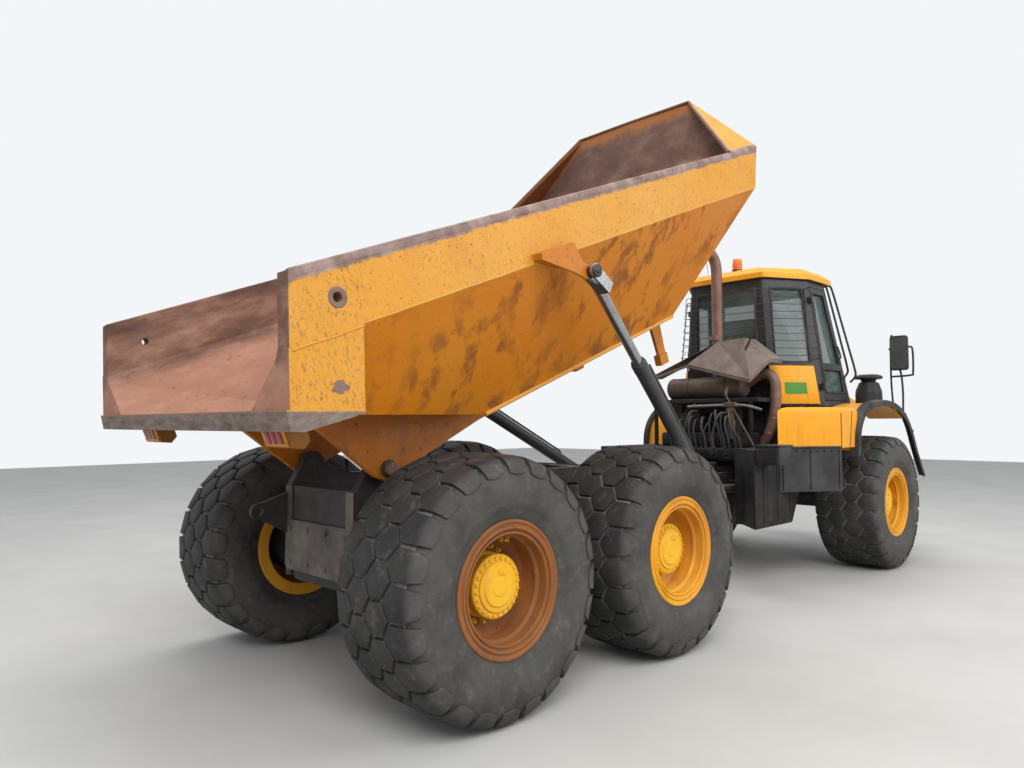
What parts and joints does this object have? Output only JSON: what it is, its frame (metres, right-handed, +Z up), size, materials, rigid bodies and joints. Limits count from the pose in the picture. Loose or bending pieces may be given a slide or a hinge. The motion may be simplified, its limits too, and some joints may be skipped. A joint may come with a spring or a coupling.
{
  "type": "articulated dump truck",
  "caption": "Articulated six-wheel dump truck with a tipping bed, hinged at its middle, with opening doors and hood.",
  "frame": {"origin": "on the ground, under the middle of the truck's box", "axes": "+X forward, +Y to the left, +Z up"},
  "size_m": [9.4411, 3.11, 4.9477],
  "materials": {
    "frame_paint": "dusty dark grey paint over steel",
    "axle_paint": "oily dark grey castings",
    "engine_paint": "dark oily castings",
    "yellow_paint": "scuffed orange-yellow enamel",
    "bed_paint": "scratched orange-yellow enamel with rust",
    "black_paint": "semi-gloss black paint",
    "flare_rubber": "weathered black rubber",
    "pane": "tinted glazing",
    "cab_trim": "dark grained trim",
    "exhaust_rust": "heat-rusted steel",
    "shield_rust": "rusty sheet",
    "intake_plastic": "black moulding",
    "lamp_lens": "clear lens",
    "bracket_paint": "rusty orange bracket",
    "tyre": "dusty black rubber",
    "rim_paint": "chipped yellow rim enamel",
    "barrel_paint": "dark paint",
    "rod_chrome": "dusty hard chrome",
    "ball_steel": "ground steel"
  },
  "bodies": {
    "rear_frame": {"rear_chassis": "frame_paint", "tandem_axles": "axle_paint", "bogie_beams": "frame_paint", "rear_propshafts": "axle_paint"},
    "hitch": {"hitch_yoke": "frame_paint"},
    "front_frame": {"front_chassis": "frame_paint", "front_axle": "axle_paint", "engine_block": "engine_paint", "fenders": "yellow_paint", "fender_flares": "flare_rubber", "side_tanks": "black_paint", "cab_shell": "black_paint", "cab_roof": "yellow_paint", "cab_glass": "pane", "cab_interior": "cab_trim", "exhaust": "exhaust_rust", "heat_shield": "shield_rust", "air_intake": "intake_plastic", "mirrors": "black_paint", "lamps": "lamp_lens"},
    "hood": {"hood": "yellow_paint", "grille": "black_paint"},
    "door_left": {"door_left": "black_paint", "door_glass_left": "pane"},
    "door_right": {"door_right": "black_paint", "door_glass_right": "pane"},
    "bed": {"bed_shell": "bed_paint", "bed_underframe": "yellow_paint", "tail_lamps": "bracket_paint"},
    "wheel_front_left": {"tyre_front_left": "tyre", "rim_front_left": "rim_paint"},
    "wheel_front_right": {"tyre_front_right": "tyre", "rim_front_right": "rim_paint"},
    "wheel_mid_left": {"tyre_mid_left": "tyre", "rim_mid_left": "rim_paint"},
    "wheel_mid_right": {"tyre_mid_right": "tyre", "rim_mid_right": "rim_paint"},
    "wheel_rear_left": {"tyre_rear_left": "tyre", "rim_rear_left": "rim_paint"},
    "wheel_rear_right": {"tyre_rear_right": "tyre", "rim_rear_right": "rim_paint"},
    "hoist_ball_left": {"hoist_ball_left": "ball_steel"},
    "hoist_barrel_left": {"hoist_barrel_left": "barrel_paint"},
    "hoist_rod_left": {"hoist_rod_left": "rod_chrome"},
    "steer_barrel_left": {"steer_barrel_left": "barrel_paint"},
    "steer_rod_left": {"steer_rod_left": "rod_chrome"},
    "hoist_ball_right": {"hoist_ball_right": "ball_steel"},
    "hoist_barrel_right": {"hoist_barrel_right": "barrel_paint"},
    "hoist_rod_right": {"hoist_rod_right": "rod_chrome"},
    "steer_barrel_right": {"steer_barrel_right": "barrel_paint"},
    "steer_rod_right": {"steer_rod_right": "rod_chrome"}
  },
  "joints": [
    {"name": "hitch_roll", "type": "hinge", "parent": "rear_frame", "child": "hitch", "pos_m": [0, 0, 0.95], "axis": [-1, 0, 0], "range_deg": [-10, 10]},
    {"name": "steer", "type": "hinge", "parent": "hitch", "child": "front_frame", "pos_m": [0.35, 0, 0.95], "axis": [0, 0, 1], "range_deg": [-45, 45]},
    {"name": "bed_tip", "type": "hinge", "parent": "rear_frame", "child": "bed", "pos_m": [-3.55, 0, 1.455], "axis": [0, -1, 0], "range_deg": [-21.3, 48.7]},
    {"name": "hood_tilt", "type": "hinge", "parent": "front_frame", "child": "hood", "pos_m": [4.52, 0, 1.2], "axis": [0, 1, 0], "range_deg": [0, 60]},
    {"name": "door_left", "type": "hinge", "parent": "front_frame", "child": "door_left", "pos_m": [2.422, 0.90808, 2.5], "axis": [0, -0.12, 0.9928], "range_deg": [0, 70]},
    {"name": "door_right", "type": "hinge", "parent": "front_frame", "child": "door_right", "pos_m": [2.422, -0.90808, 2.5], "axis": [0, 0.12, 0.9928], "range_deg": [-70, 0]},
    {"name": "spin_front_left", "type": "hinge", "parent": "front_frame", "child": "wheel_front_left", "pos_m": [3.07, 1.1815, 0.785], "axis": [0, 1, 0], "continuous": true},
    {"name": "spin_front_right", "type": "hinge", "parent": "front_frame", "child": "wheel_front_right", "pos_m": [3.07, -1.1815, 0.785], "axis": [0, 1, 0], "continuous": true},
    {"name": "spin_mid_left", "type": "hinge", "parent": "rear_frame", "child": "wheel_mid_left", "pos_m": [-1.55, 1.1815, 0.785], "axis": [0, 1, 0], "continuous": true},
    {"name": "spin_mid_right", "type": "hinge", "parent": "rear_frame", "child": "wheel_mid_right", "pos_m": [-1.55, -1.1815, 0.785], "axis": [0, 1, 0], "continuous": true},
    {"name": "spin_rear_left", "type": "hinge", "parent": "rear_frame", "child": "wheel_rear_left", "pos_m": [-3.35, 1.1815, 0.785], "axis": [0, 1, 0], "continuous": true},
    {"name": "spin_rear_right", "type": "hinge", "parent": "rear_frame", "child": "wheel_rear_right", "pos_m": [-3.35, -1.1815, 0.785], "axis": [0, 1, 0], "continuous": true},
    {"name": "hoist_swing_left", "type": "hinge", "parent": "rear_frame", "child": "hoist_ball_left", "pos_m": [0, 0.74, 1.158], "axis": [0, -1, 0], "range_deg": [-0.5, 0.8]},
    {"name": "hoist_lean_left", "type": "hinge", "parent": "hoist_ball_left", "child": "hoist_barrel_left", "pos_m": [0, 0.74, 1.158], "axis": [-0.5224, 0, -0.8527], "range_deg": [-6.2, 3]},
    {"name": "hoist_stroke_left", "type": "slide", "parent": "hoist_barrel_left", "child": "hoist_rod_left", "axis": [-0.8275, 0.2415, 0.5069], "range_m": [-0.5474, 1.2489]},
    {"name": "hoist_swing_right", "type": "hinge", "parent": "rear_frame", "child": "hoist_ball_right", "pos_m": [0, -0.74, 1.158], "axis": [0, -1, 0], "range_deg": [-0.5, 0.8]},
    {"name": "hoist_lean_right", "type": "hinge", "parent": "hoist_ball_right", "child": "hoist_barrel_right", "pos_m": [0, -0.74, 1.158], "axis": [0.5224, 0, 0.8527], "range_deg": [-6.2, 3]},
    {"name": "hoist_stroke_right", "type": "slide", "parent": "hoist_barrel_right", "child": "hoist_rod_right", "axis": [-0.8275, -0.2415, 0.5069], "range_m": [-0.5474, 1.2489]},
    {"name": "steer_swing_left", "type": "hinge", "parent": "front_frame", "child": "steer_barrel_left", "pos_m": [1.25, 0.51, 1.02], "axis": [0, 0, 1], "range_deg": [-2, 2]},
    {"name": "steer_stroke_left", "type": "slide", "parent": "steer_barrel_left", "child": "steer_rod_left", "axis": [-0.9912, -0.1322, 0], "range_m": [-0.285, 0.285]},
    {"name": "steer_swing_right", "type": "hinge", "parent": "front_frame", "child": "steer_barrel_right", "pos_m": [1.25, -0.51, 1.02], "axis": [0, 0, 1], "range_deg": [-2, 2]},
    {"name": "steer_stroke_right", "type": "slide", "parent": "steer_barrel_right", "child": "steer_rod_right", "axis": [-0.9912, 0.1322, 0], "range_m": [-0.285, 0.285]}
  ],
  "couplings": [
    {"joint": "hoist_swing_left", "follows": "bed_tip", "ratio": 0.01},
    {"joint": "hoist_lean_left", "follows": "bed_tip", "ratio": -0.115},
    {"joint": "hoist_stroke_left", "follows": "bed_tip", "m_per_rad": 1.467},
    {"joint": "hoist_swing_right", "follows": "bed_tip", "ratio": 0.01},
    {"joint": "hoist_lean_right", "follows": "bed_tip", "ratio": -0.115},
    {"joint": "hoist_stroke_right", "follows": "bed_tip", "m_per_rad": 1.467},
    {"joint": "steer_swing_left", "follows": "steer", "ratio": -0.02},
    {"joint": "steer_stroke_left", "follows": "steer", "m_per_rad": -0.355},
    {"joint": "steer_swing_right", "follows": "steer", "ratio": -0.02},
    {"joint": "steer_stroke_right", "follows": "steer", "m_per_rad": 0.355}
  ]
}
